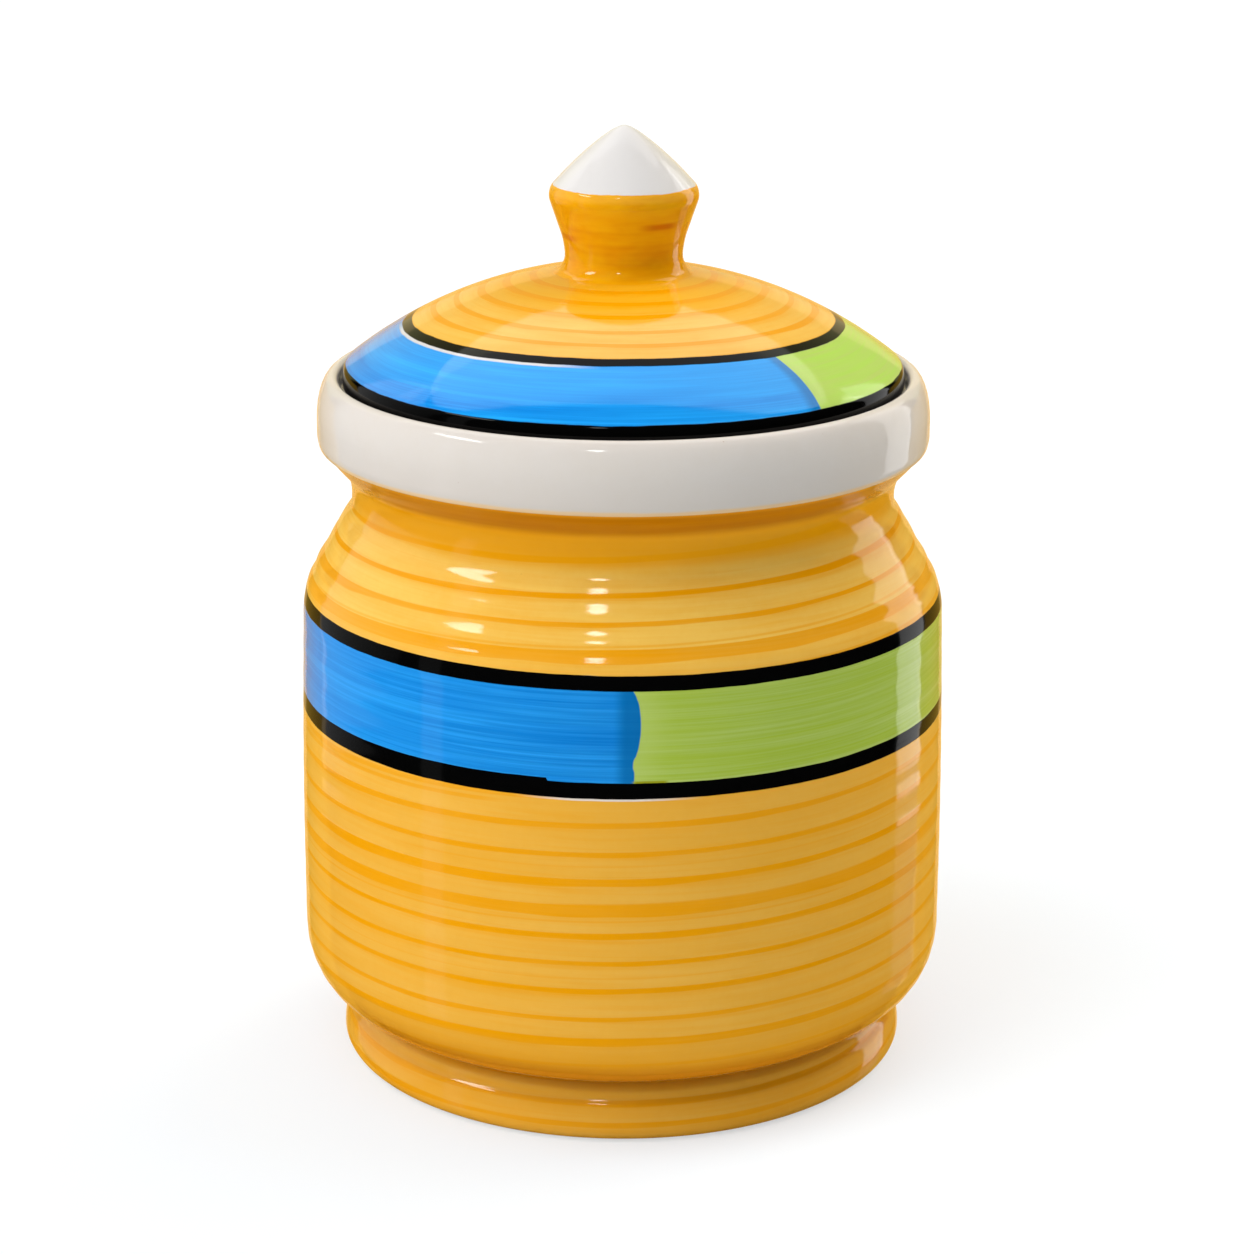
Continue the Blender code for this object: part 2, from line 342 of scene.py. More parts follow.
# %% Turn the collar
COLLAR_RADIUS = collar_high.x
CREST_HEIGHT = collar_high.z
GALLERY_RADIUS = THROAT_RADIUS + 0.0070
LEDGE_HEIGHT = CREST_HEIGHT - 0.0034
LEDGE_LEG = 0.0005
COLLAR_FOOT_TURN = 0.0010
COLLAR_FOOT_LEG = 0.0008
CREST_OUTER_LEG = 0.0086
CREST_INSET = 0.0013
CREST_INNER_LEG = 0.0014
COLLAR_PLAIN_WIDTH = 0.0060
COLLAR_MARKS_START = collar_low.z + 0.0002
COLLAR_SWELL = 1.6 * SWELL_DEPTH
collar_base = NECK_TOP - SEAM
collar_line = bent([
    (THROAT_RADIUS, LEDGE_HEIGHT, LEDGE_LEG),
    (GALLERY_RADIUS, LEDGE_HEIGHT, LEDGE_LEG),
    (GALLERY_RADIUS, CREST_HEIGHT, CREST_INNER_LEG, CREST_INSET),
    (COLLAR_RADIUS, CREST_HEIGHT, COLLAR_RADIUS - GALLERY_RADIUS - CREST_INSET, CREST_OUTER_LEG),
    (COLLAR_RADIUS, collar_low.z + COLLAR_FOOT_TURN, COLLAR_FOOT_LEG),
    (COLLAR_FOOT_RADIUS + SEAM, NECK_TOP, SEAM),
    (COLLAR_FOOT_RADIUS - SEAM * 3, collar_base),
    (THROAT_RADIUS, collar_base),
])
collar = turned(
    "collar", collar_line, True, lambda point: point.x > THROAT_RADIUS + COLLAR_PLAIN_WIDTH
)


def collar_depth(angle, radius, vert):
    if not looks_out(vert) or vert.co.z < COLLAR_MARKS_START:
        return 0
    return COLLAR_SWELL * unevenness(vert.co, SWELL_SIZE / 2, seed=11)


press(collar, collar_depth)

# %% [markdown]
# ## The lid
# The lid is a shallow dome, cut from a ball, with a small rounded edge. It rests on the ledge
# with less than a millimetre of air all round, so it lifts straight out.

# %% Turn the lid
lid_low, lid_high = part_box("lid_dome")
knob_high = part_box("lid_knob")[1]
LID_SEAT = lid_low.z
LID_RADIUS = lid_high.x
LID_WALL = 0.0050
DOME_RISE = 0.0241
LID_EDGE_RISE = 0.0047
LID_EDGE_UPPER_LEG = 0.0018
LID_EDGE_LOWER_LEG = 0.0016
RIM_WIDTH = 0.0053
BORE_RADIUS = 0.00745
LID_PLAIN_RADIUS = 0.011
APEX = LID_SEAT + DOME_RISE
drop = DOME_RISE - LID_EDGE_RISE
BALL = (LID_RADIUS**2 + drop**2) / (2 * drop)


def dome_height(radius, depth=0):
    """The height of the dome's surface at this radius, or of one at this depth below it."""
    return APEX - BALL + math.sqrt((BALL - depth) ** 2 - radius**2)


def dome_arc(inner, outer, depth, steps=40):
    radii = [inner + (outer - inner) * step / steps for step in range(steps + 1)]
    return [(radius, dome_height(radius, depth)) for radius in radii]


lid_line = bent(
    dome_arc(BORE_RADIUS, LID_RADIUS - LID_EDGE_UPPER_LEG, 0)[:-1]
    + [
        (LID_RADIUS - LID_EDGE_UPPER_LEG, dome_height(LID_RADIUS - LID_EDGE_UPPER_LEG)),
        (LID_RADIUS, dome_height(LID_RADIUS), LID_EDGE_UPPER_LEG / 2, LID_EDGE_UPPER_LEG),
        (LID_RADIUS, LID_SEAT, LID_EDGE_LOWER_LEG),
        (LID_RADIUS - RIM_WIDTH, LID_SEAT),
    ]
    + dome_arc(LID_RADIUS - RIM_WIDTH, BORE_RADIUS, LID_WALL, 12)
)


def lid_outside(point):
    middle_height = dome_height(min(point.x, LID_RADIUS), LID_WALL / 2)
    return point.z > middle_height and point.x > LID_PLAIN_RADIUS


lid = turned("lid", lid_line, True, lid_outside)
LID_RIDGE = 0.000008
LID_RIDGE_PITCH = 0.0047
TOP_SLOPE = 0.2


def lid_depth(angle, radius, vert):
    on_top = vert.normal.z >= TOP_SLOPE and vert.co.z >= LID_SEAT + LID_EDGE_RISE
    if not on_top or radius < BORE_RADIUS + WELD:
        return 0
    turn = radius / LID_RIDGE_PITCH - angle / math.tau
    ridge = (1 - math.cos(math.tau * turn)) / 2
    return LID_RIDGE * ridge + SWELL_DEPTH * unevenness(vert.co, SWELL_SIZE, seed=19)


press(lid, lid_depth)

# %% [markdown]
# ## The locating ring
# Under the lid hangs a short ring that keeps it centred in the throat. It doesn't show while
# the lid is on, and it comes into sight when the lid is lifted.

# %% Turn the locating ring
ring_low, ring_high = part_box("lid_flange")
RING_WALL = 0.0043
RING_LEG = 0.0009
RING_RADIUS = ring_high.x
ring_line = bent([
    (RING_RADIUS - RING_WALL, dome_height(RING_RADIUS - RING_WALL, LID_WALL / 2)),
    (RING_RADIUS, dome_height(RING_RADIUS, LID_WALL / 2)),
    (RING_RADIUS, ring_low.z, RING_LEG),
    (RING_RADIUS - RING_WALL, ring_low.z, RING_LEG),
])
ring = turned("locating_ring", ring_line, True, lambda point: False, coarse=0.0015)

# %% [markdown]
# ## The knob
# The knob is a waisted grip with a cone on top, made to be pinched between finger and thumb.
# It is a separate bit of clay, slipped onto the dome, and its foot spreads into the lid.

# %% Turn the knob
KNOB_TOP = knob_high.z
KNOB_HEIGHT = KNOB_TOP - APEX
NECK_RADIUS = 0.01155
NECK_HEIGHT = 0.0044
NECK_LEG = 0.0025
KNOB_SPREAD = 0.0026
KNOB_FILLET_LEG = 0.0032
BROW_RADIUS = NECK_RADIUS + 0.00358
BROW_HEIGHT = NECK_HEIGHT + 0.0104
BROW_LEG = 0.0019
TIP_RADIUS = 0.0038
TIP_WALL = 0.0080
spread_radius = NECK_RADIUS + KNOB_SPREAD * 1.1
slant = Vector((BROW_RADIUS - TIP_RADIUS, KNOB_HEIGHT - BROW_HEIGHT)).length
knob_line = bent([
    (0, KNOB_TOP),
    (TIP_RADIUS, KNOB_TOP, TIP_RADIUS, slant - BROW_LEG),
    (BROW_RADIUS, APEX + BROW_HEIGHT, BROW_LEG),
    (NECK_RADIUS, APEX + NECK_HEIGHT, NECK_LEG),
    (NECK_RADIUS, dome_height(NECK_RADIUS), KNOB_FILLET_LEG, KNOB_SPREAD),
    (spread_radius, dome_height(spread_radius) - SEAM / 6),
    (spread_radius, dome_height(spread_radius) - SEAM * 2),
    (BORE_RADIUS, dome_height(BORE_RADIUS) - SEAM * 2),
    (BORE_RADIUS, APEX + BROW_HEIGHT),
    (0, KNOB_TOP - TIP_WALL),
], points=14)
knob = turned("knob", knob_line, False, lambda point: point.x > BORE_RADIUS, finest=0.0005)
KNOB_SWELL = 0.00008
KNOB_MARKS_START = APEX + 0.0006
UNDERFACE_SLOPE = -0.9


def knob_depth(angle, radius, vert):
    plain = radius < TIP_RADIUS or vert.co.z < KNOB_MARKS_START or vert.normal.z < UNDERFACE_SLOPE
    if plain or not looks_out(vert):
        return 0
    return KNOB_SWELL * unevenness(vert.co, SWELL_SIZE / 3, seed=23)


press(knob, knob_depth)


# %% [markdown]
# ## A small language for glaze
# The painting on this jar is all rings, strokes and soft edges. Each is a number that changes
# over the surface: how much orange, how much black. The class below lets such numbers be
# added, multiplied and cut off, and each step becomes one Math node in the glaze.

# %% Numbers that vary over a surface
class Field:
    """A number at every point of a surface."""

    def __init__(self, tree, socket):
        self.tree, self.socket = tree, socket

    def math(self, operation, *others):
        node = self.tree.nodes.new("ShaderNodeMath")
        node.operation = operation
        for socket, value in zip(node.inputs, (self, *others)):
            plug(value, socket)
        return Field(self.tree, node.outputs[0])

    def __add__(self, other):
        return self.math("ADD", other)

    def __sub__(self, other):
        return self.math("SUBTRACT", other)

    def __mul__(self, other):
        return self.math("MULTIPLY", other)

    def __truediv__(self, other):
        return self.math("DIVIDE", other)

    def __rsub__(self, other):
        return self * -1 + other

    __radd__ = __add__
    __rmul__ = __mul__

    def above(self, edge, blur):
        """0 below the edge and 1 above it, with a soft change of this width."""
        node = self.tree.nodes.new("ShaderNodeMapRange")
        node.interpolation_type = "SMOOTHSTEP"
        plug(self - edge, node.inputs["Value"])
        node.inputs["From Min"].default_value = -blur / 2
        node.inputs["From Max"].default_value = blur / 2
        return Field(self.tree, node.outputs["Result"])

    def below(self, edge, blur):
        return 1 - self.above(edge, blur)

    def between(self, low, high, blur):
        return self.above(low, blur) * self.below(high, blur)

    def reads(self, table, span):
        """The value that a table of (place, value) pairs gives, with soft bends between them."""
        low, high = span
        node = self.tree.nodes.new("ShaderNodeFloatCurve")
        plug((self - low) * (1 / (high - low)), node.inputs["Value"])
        values = [value for place, value in table]
        least, most = min(values), max(values)
        reach = max(most - least, 1e-9)
        curve = node.mapping.curves[0]
        places = [((place - low) / (high - low), (value - least) / reach) for place, value in table]
        curve.points[0].location, curve.points[1].location = places[0], places[-1]
        for place in places[1:-1]:
            curve.points.new(*place)
        node.mapping.update()
        return Field(self.tree, node.outputs["Value"]) * reach + least


def plug(value, socket):
    """Joins a field to a socket, or sets the socket to a plain number."""
    if isinstance(value, Field):
        value.tree.links.new(value.socket, socket)
    else:
        socket.default_value = value


# %% [markdown]
# ## One glaze for all the pieces
# Each glaze starts from the same things: the height above the table, the distance from the
# axis and the angle round it. Brushed noise is drawn out round the pot, because the brush
# stood still while the pot went round. Coats are laid one over the other, as they are fired.

# %% A glaze that knows its place on the pot
GLAZE_ROUGHNESS = 0.07
GLAZE_GLOSS = 0.5
CERAMIC_IOR = 1.5
SKIN_RELIEF = 0.0000015


class Glaze:
    """A glossy ceramic material with its coordinates: height, radius and angle round the axis."""

    def __init__(self, name):
        self.material = bpy.data.materials.new(name)
        self.material.use_nodes = True
        self.tree = self.material.node_tree
        self.shader = self.tree.nodes["Principled BSDF"]
        place = self.tree.nodes.new("ShaderNodeTexCoord")
        split = self.tree.nodes.new("ShaderNodeSeparateXYZ")
        self.tree.links.new(place.outputs["Object"], split.inputs[0])
        self.place = place.outputs["Object"]
        self.x, self.y, self.height = (Field(self.tree, socket) for socket in split.outputs)
        self.radius = (self.x * self.x + self.y * self.y).math("SQRT")
        self.angle = self.x.math("ARCTAN2", self.y * -1)
        self.east, self.north = self.x / self.radius, self.y / self.radius

    def bristle(self, across, count, pitch, seed, detail=2):
        """Noise drawn out round the pot, as by a brush: from -1 to 1, features of pitch metres."""
        join = self.tree.nodes.new("ShaderNodeCombineXYZ")
        plug(self.east * count + seed, join.inputs[0])
        plug(self.north * count, join.inputs[1])
        plug(across / pitch, join.inputs[2])
        return self.noise(join.outputs[0], 1, detail)

    def grain(self, size, detail=2):
        """Noise of the same size in all directions: from -1 to 1, features of size metres."""
        return self.noise(self.place, 1 / size, detail)

    def noise(self, vector, scale, detail):
        node = self.tree.nodes.new("ShaderNodeTexNoise")
        node.inputs["Scale"].default_value = scale
        node.inputs["Detail"].default_value = detail
        node.inputs["Roughness"].default_value = 0.6
        self.tree.links.new(vector, node.inputs["Vector"])
        return (Field(self.tree, node.outputs["Fac"]) - 0.5) * 3

    def specks(self, spacing, size, share):
        """Small round dots: one in each few cells of this spacing, for the share that has one."""
        node = self.tree.nodes.new("ShaderNodeTexVoronoi")
        node.inputs["Scale"].default_value = 1 / spacing
        self.tree.links.new(self.place, node.inputs["Vector"])
        tint = self.tree.nodes.new("ShaderNodeSeparateColor")
        self.tree.links.new(node.outputs["Color"], tint.inputs[0])
        dot = Field(self.tree, node.outputs["Distance"]).below(size / spacing, size / spacing)
        return dot * Field(self.tree, tint.outputs[0]).below(share, 0.001)

    def paint(self, under, colour, cover):
        """Lays a colour over what is under it, where cover goes from 0 to 1."""
        node = self.tree.nodes.new("ShaderNodeMix")
        node.data_type = "RGBA"
        plug(cover, node.inputs["Factor"])
        sockets = [socket for socket in node.inputs if socket.type == "RGBA"]
        for value, socket in zip((under, colour), sockets):
            if isinstance(value, tuple):
                socket.default_value = (*value, 1)
            else:
                self.tree.links.new(value, socket)
        return [socket for socket in node.outputs if socket.type == "RGBA"][0]

    def fire(self, colour, roughness=GLAZE_ROUGHNESS, relief=None, gloss=GLAZE_GLOSS):
        """Plugs the finished colour, relief and gloss into the shader and returns the material."""
        self.tree.links.new(colour, self.shader.inputs["Base Color"])
        plug(self.grain(0.012) * 0.015 + roughness, self.shader.inputs["Roughness"])
        self.shader.inputs["IOR"].default_value = CERAMIC_IOR
        plug(gloss, self.shader.inputs["Specular IOR Level"])
        skin = self.grain(0.004, 1) * SKIN_RELIEF
        bump = self.tree.nodes.new("ShaderNodeBump")
        bump.inputs["Distance"].default_value = 1.0
        plug(skin if relief is None else skin + relief, bump.inputs["Height"])
        self.tree.links.new(bump.outputs["Normal"], self.shader.inputs["Normal"])
        print(self.material.name, len(self.tree.nodes), "nodes")
        return self.material


# %% [markdown]
# ## The colours in the pots
# A few colours do the whole jar. Each is written as linear red, green and blue, as it looks
# under a plain light: ochre yellow, the orange of a wetter stroke, greens, blues, a black and
# a warm white. Each has a paler or deeper neighbour, because a brushed glaze is never even.

# %% Mix the colours
YELLOW = (0.770, 0.385, 0.042)
PALE_YELLOW = (0.800, 0.442, 0.076)
CREAM_YELLOW = (0.850, 0.555, 0.112)
ORANGE = (0.790, 0.318, 0.0012)
BURNT_ORANGE = (0.560, 0.165, 0.001)
DEEP_ORANGE = (0.430, 0.128, 0.0008)
BLUE = (0.003, 0.175, 0.560)
LIGHT_BLUE = (0.022, 0.320, 0.790)
POOLED_BLUE = (0.001, 0.125, 0.360)
GREEN = (0.345, 0.465, 0.046)
DEEP_GREEN = (0.255, 0.385, 0.030)
PALE_GREEN = (0.450, 0.560, 0.140)
LID_AMBER = (0.800, 0.392, 0.003)
LID_BLUE = (0.004, 0.205, 0.640)
LID_LIGHT_BLUE = (0.018, 0.390, 0.900)
LID_GREEN = (0.385, 0.640, 0.086)
LID_DEEP_GREEN = (0.325, 0.550, 0.058)
OLIVE = (0.300, 0.300, 0.010)
BLACK = (0.0012, 0.0012, 0.0012)
WHITE = (0.700, 0.650, 0.600)
IRON_BROWN = (0.300, 0.130, 0.030)
CLAY = (0.520, 0.380, 0.270)


def specked(glaze, under, spacing=0.0065, size=0.00013, share=0.20, cover=0.45):
    """Scatters iron specks over a colour."""
    return glaze.paint(under, IRON_BROWN, glaze.specks(spacing, size, share) * cover)


# %% [markdown]
# ## Strokes of a loaded brush
# The jar turns on a banding wheel while the brush drifts slowly upwards, so the orange strokes
# are one spiral. A stroke is wide where the brush is full, and streaky on its lower side where
# the bristles run dry. Single bristles leave hair lines beside it.

# %% Draw a set of strokes
def stroke_fields(across, table, span, start=0):
    """The running number, half width and strength of the strokes, as the table has them."""
    numbers = [(place, index + start) for index, (place, _, _) in enumerate(table)]
    widths = [(place, width) for place, width, _ in table]
    strengths = [(place, strength) for place, _, strength in table]
    return [across.reads(values, span) for values in (numbers, widths, strengths)]


def strokes(glaze, across, spacing, phase, half_width, weight, seed):
    """How much orange lies at a point, for strokes centred where phase is whole. Lengths in metres."""
    hairs = glaze.bristle(across, 1.6, 0.00034, seed + 5, 3)
    streaks = glaze.bristle(across, 2.2, 0.0012, seed + 9, 2)
    load = glaze.bristle(across, 2.6, 0.0060, seed + 17, 1)
    off = ((phase + 0.5).math("FRACT") - 0.5) * spacing + load * 0.00016 + streaks * 0.00008
    reach = half_width * (load * 0.22 + 1.0)
    core = off.below(reach, 0.00026) * off.above(reach * -1, 0.00036)
    core = core * (hairs * 0.12 + streaks * 0.14 + load * 0.08 + 0.98)
    dry = off.below(reach, 0.0003) * off.above(reach * -1 - 0.0009, 0.0018)
    dry = dry * (streaks * 0.45 + hairs * 0.20 + 0.36)
    fringe = off.between(-0.0024, 0.0019, 0.0010) * hairs.above(0.30, 0.50) * 0.26
    return core.math("MAXIMUM", dry).math("MAXIMUM", fringe) * weight, hairs, streaks


def yellow_ground(glaze, across, amount, hairs, streaks, seed, cream=0.0):
    """Ochre glaze with its faint brush streaks and the orange strokes over it. The last argument lays
    cream yellow on the ground: a paler shoulder on the body, and on the lid a painted reflection of the
    round light.
    """
    cloud = glaze.bristle(across, 1.5, 0.0042, seed + 13)
    mottle = glaze.grain(0.0016, 3)
    colour = glaze.paint(YELLOW, PALE_YELLOW, cloud * 0.42 + hairs * 0.10 + mottle * 0.12 + 0.34)
    colour = glaze.paint(colour, CREAM_YELLOW, (cloud * 0.30 + mottle * 0.10 + 0.55) * cream)
    faint = streaks.above(0.20, 0.9) * 0.20 + hairs.above(0.15, 0.8) * 0.10
    return glaze.paint(colour, ORANGE, amount.math("MAXIMUM", faint))


# %% [markdown]
# ## Streaks in a painted field
# The blue and the green were laid on with a flat brush while the jar turned. The glaze is thin
# between the bristles and shows paler there, so each field is full of long fine lines, and
# it gathers in a darker pool where the brush was lifted.

# %% Brush a field of colour
def field(glaze, across, deep, base, pale, seed, level):
    """A brushed field: three widths of streak move its colour between deep, base and pale."""
    hairs = glaze.bristle(across, 1.5, 0.00038, seed, 3)
    lines = glaze.bristle(across, 1.1, 0.0010, seed + 3, 2)
    wash = glaze.bristle(across, 1.4, 0.0042, seed + 7, 2)
    colour = glaze.paint(base, deep, wash * 0.40 + lines * 0.35 + level)
    cover = hairs.above(0.05, 0.9) * 0.30 + lines.above(0.25, 0.9) * 0.42 + wash.above(0.1, 1.2) * 0.30
    return glaze.paint(colour, pale, cover)


def arc(angle, first, last, blur):
    """1 between two angles in degrees and 0 outside them."""
    return angle.between(math.radians(first), math.radians(last), blur)


def marks(glaze, under, colour, across, angle, table, blur=0.00025, fade=0.14):
    """Single strokes, each (from, to, first angle, last angle, strength), faded at their ends."""
    for low, high, first, last, strength in table:
        ends = arc(angle, first, last, fade)
        under = glaze.paint(under, colour, across.between(low, high, blur) * ends * strength)
    return under


# %% [markdown]
# ## Painting the body
# The table lists each stroke by its height in front, its half width and its strength. They
# climb to the right, and a little faster in front than behind, as the hand gave way. At the
# shoulder the strokes are broader and the ground between them paler. Painted shade darkens
# the band under the collar and the belly towards the groove under it.

# %% Paint the body's strokes
STROKE_SPACING = 0.0055
BODY_STROKES = (
    (0.0135, 0.0006, 0.6), (0.0190, 0.0004, 0.6), (0.0245, 0.0009, 0.90), (0.0292, 0.0005, 0.9),
    (0.0350, 0.0005, 1.0), (0.0405, 0.0005, 1.0), (0.0460, 0.0006, 1.0), (0.0511, 0.0012, 0.90),
    (0.0568, 0.0008, 1.0), (0.0623, 0.0005, 0.9), (0.0680, 0.0006, 0.9), (0.0735, 0.0005, 0.7),
    (0.0800, 0.0005, 0.7), (0.0855, 0.0005, 0.7), (0.0915, 0.0005, 0.7), (0.0958, 0.0005, 0.7),
    (0.0999, 0.0014, 0.85), (0.1052, 0.0005, 0.90), (0.1099, 0.0005, 1.0), (0.1160, 0.0005, 1.0),
    (0.1234, 0.0017, 1.0), (0.1290, 0.0004, 0.6),
)
STROKE_START = -0.037
BODY_SPAN = (0.0120, 0.1290)
CLIMB_SWING = 0.105
STROKE_RELIEF = 0.000008
WAIST_COAT = (0.1150, 0.0040)
# Painted shade: the band under the collar's overhang, given as from, to and softness.
UNDER_COLLAR = (0.1212, 0.1262, 0.0022)
# Each band of painted shade low on the belly, darker towards the groove: its colour, its upper edge, how
# soft that is, and its cover.
BODY_POOLS = (
    (ORANGE, 0.0222, 0.0090, 0.60), (BURNT_ORANGE, 0.0176, 0.0060, 0.88),
    (DEEP_ORANGE, 0.0146, 0.0024, 0.75),
)
body_glaze = Glaze("painted_body_glaze")
height, angle = body_glaze.height, body_glaze.angle
climb = angle * (1 / math.tau) + angle.math("SINE") * CLIMB_SWING
phase, half_width, weight = stroke_fields(height, BODY_STROKES, BODY_SPAN, STROKE_START)
amount, hairs, streaks = strokes(body_glaze, height, STROKE_SPACING, phase - climb, half_width, weight, 3)
on_shoulder = height.between(0.0980, 0.1150, 0.0050)
colour = yellow_ground(body_glaze, height, amount, hairs, streaks, 3, on_shoulder)
colour = body_glaze.paint(colour, ORANGE, height.above(*WAIST_COAT) * 0.76)
# Painted shade under the collar, in deep orange.
colour = body_glaze.paint(colour, DEEP_ORANGE, height.between(*UNDER_COLLAR) * (streaks * 0.12 + 0.90))
# Painted shade: the belly darkens towards the groove under it.
for pool, edge, blur, cover in BODY_POOLS:
    colour = body_glaze.paint(colour, pool, height.below(edge, blur) * cover)

BODY_MARKS = (
    (0.1164, 0.1169, -70, 60, 0.5), (0.0246, 0.0256, -80, 6, 0.7), (0.0524, 0.0528, -10, 75, 0.6),
    (0.0490, 0.0494, -75, 40, 0.5), (0.0718, 0.0726, -78, -22, 0.6), (0.1016, 0.1020, -75, 70, 0.5),
    (0.0600, 0.0603, -40, 70, 0.3), (0.0376, 0.0379, -70, 20, 0.3),
)
colour = marks(body_glaze, colour, ORANGE, height - climb * STROKE_SPACING, angle, BODY_MARKS)

# %% [markdown]
# ## The band round the body
# Between two black lines the band is half blue and half green. The blue ends in a rounded,
# pooled edge over the green. The lower black line was closed with a small step, and beside it
# a thread of the white body shows.

# %% Paint the blue and green band
UPPER_LINE = (0.0941, 0.0969)
LOWER_LINE = (0.0734, 0.0765)
FIELD_EDGE = (
    (0.0760, 1.8), (0.0783, 2.0), (0.0797, 1.77), (0.0818, 2.30), (0.0845, 2.85), (0.0875, 3.07),
    (0.0905, 2.90), (0.0928, 2.40), (0.0943, 1.7),
)
POOL_START = -0.5
BLUE_MARKS = (
    (0.0858, 0.0862, -80, -24, 0.75), (0.0893, 0.0897, -70, -33, 0.45), (0.0840, 0.0846, -76, -48, 0.40),
    (0.0868, 0.0874, -70, -38, 0.35), (0.0920, 0.0931, -24, -3, 0.30), (0.0783, 0.0788, -74, -30, 0.40),
    (0.0905, 0.0908, -60, -12, 0.30), (0.0800, 0.0803, -9, -2, 0.45), (0.0790, 0.0793, -9, -2, 0.35),
    (0.0815, 0.0817, -6, -2, 0.30), (0.0862, 0.0864, -14, -2, 0.30), (0.0880, 0.0882, -11, -2, 0.25),
)
edge = height.reads([(place, math.radians(turn)) for place, turn in FIELD_EDGE], (0.0740, 0.0960))
side = (angle - edge).math("SINE")
green_cover = side.above(0, 0.005)
blues = field(body_glaze, height, POOLED_BLUE, BLUE, LIGHT_BLUE, 31, 0.10)
# Painted light: the blue is paler on the left side, towards the light.
blues = body_glaze.paint(blues, LIGHT_BLUE, angle.below(math.radians(-38), 0.9) * 0.30)
blues = marks(body_glaze, blues, LIGHT_BLUE, height, angle, BLUE_MARKS)
pooled = angle.above(math.radians(POOL_START), 0.045) * side.below(0.08, 0.16)
blues = body_glaze.paint(blues, POOLED_BLUE, pooled * 0.80)
greens = field(body_glaze, height, DEEP_GREEN, GREEN, PALE_GREEN, 37, 0.20)
greens = body_glaze.paint(greens, PALE_GREEN, side.below(0.05, 0.14) * 0.55)
fields = body_glaze.paint(blues, greens, green_cover)
field_cover = height.between(LOWER_LINE[1] - 0.0003, UPPER_LINE[0] + 0.0004, 0.0001)
colour = body_glaze.paint(colour, fields, field_cover)

# %% [markdown]
# ## The black outlines
# The black was drawn last with a thin brush, to hide where the colours meet. The hand is not
# quite steady, so the lines wander by a tenth of a millimetre, stand up a little from the
# glaze and are duller than it.

# %% Draw the black lines
TREMOR = 0.00004
LINE_BLUR = 0.00014
LINE_STEP = 0.00060
LINE_RELIEF = 0.00003
BLACK_MATTING = 0.37
WHITE_THREAD = (0.0730, 0.0735, 0.0002)
UPPER_THREAD = (0.0764, 0.0769, 0.0002)


def stray(glaze, across, count, reach, seed):
    """How far a hand-drawn line strays: slowly by this reach, and a little in quick tremors."""
    slow = glaze.bristle(across, count, 0.02, seed) * reach
    return slow + glaze.bristle(across, count * 4, 0.02, seed + 2) * TREMOR


def fire_outlined(glaze, colour, amount, black_cover):
    """Fires a painting with its strokes and black lines standing up and the black duller."""
    relief = black_cover * LINE_RELIEF + amount * STROKE_RELIEF
    return glaze.fire(colour, relief=relief, gloss=black_cover * -BLACK_MATTING + GLAZE_GLOSS)


drawn = height + stray(body_glaze, height, 4, 0.00010, 41)
step = angle.above(math.radians(-75), math.radians(120)) * angle.below(math.radians(-12.5), 0.006)
lower_top = step * LINE_STEP + LOWER_LINE[1]
upper_cover = drawn.between(*UPPER_LINE, LINE_BLUR)
lower_cover = drawn.above(LOWER_LINE[0], LINE_BLUR) * drawn.below(lower_top, LINE_BLUR)
black_cover = upper_cover.math("MAXIMUM", lower_cover)
gap = arc(angle, -13, 9, 0.20) * drawn.between(*WHITE_THREAD)
colour = body_glaze.paint(colour, WHITE, gap * 0.9)
sliver = angle.above(math.radians(1.9), 0.01) * drawn.between(*UPPER_THREAD)
colour = body_glaze.paint(colour, PALE_GREEN, sliver * 0.7)
colour = body_glaze.paint(colour, OLIVE, arc(angle, 1.9, 7.4, 0.02) * drawn.between(*UPPER_THREAD))
colour = specked(body_glaze, colour)
colour = body_glaze.paint(colour, BLACK, black_cover)
painted_body_glaze = fire_outlined(body_glaze, colour, amount, black_cover)

# %% [markdown]
# ## The inside and the bare clay
# The inside has a plain warm white glaze with a few iron specks. The tread and the lid's seat
# are left bare, so that they don't stick in the kiln, and show the sandy clay.

# %% Glaze the inside and leave the tread bare
inner = Glaze("white_glaze_inside")
clouded = inner.specks(0.007, 0.00020, 0.25) * 0.6 + inner.grain(0.02) * 0.02
inside_glaze = inner.fire(inner.paint(WHITE, IRON_BROWN, clouded), roughness=0.10)
bare = Glaze("bare_clay")
bare_colour = bare.paint(CLAY, IRON_BROWN, bare.grain(0.0012, 4) * 0.18 + 0.12)
bare_clay = bare.fire(bare_colour, roughness=0.75, relief=bare.grain(0.0006, 3) * 0.00002)

# %% [markdown]
# ## Painting the foot
# The foot has the body's ochre with its own orange rings. At its top, in the groove under the
# belly, burnt orange stands partly for glaze that pools there and partly for painted shade of
# the groove. The glaze stops just above the tread, where a thread of clay shows.

# %% Glaze the foot
FOOT_SPACING = 0.0040
foot_glaze = Glaze("foot_yellow_glaze")
height = foot_glaze.height
climb = foot_glaze.angle * (1 / math.tau)
phase = height * (1 / FOOT_SPACING) - climb + 0.02
half_width = 0.0005 + foot_glaze.bristle(height, 1.5, 0.02, 61) * 0.0002
amount, hairs, streaks = strokes(foot_glaze, height, FOOT_SPACING, phase, half_width, 0.85, 53)
colour = yellow_ground(foot_glaze, height, amount, hairs, streaks, 53)
colour = foot_glaze.paint(colour, ORANGE, foot_glaze.bristle(height, 1.4, 0.0016, 59, 2) * 0.25 + 0.22)
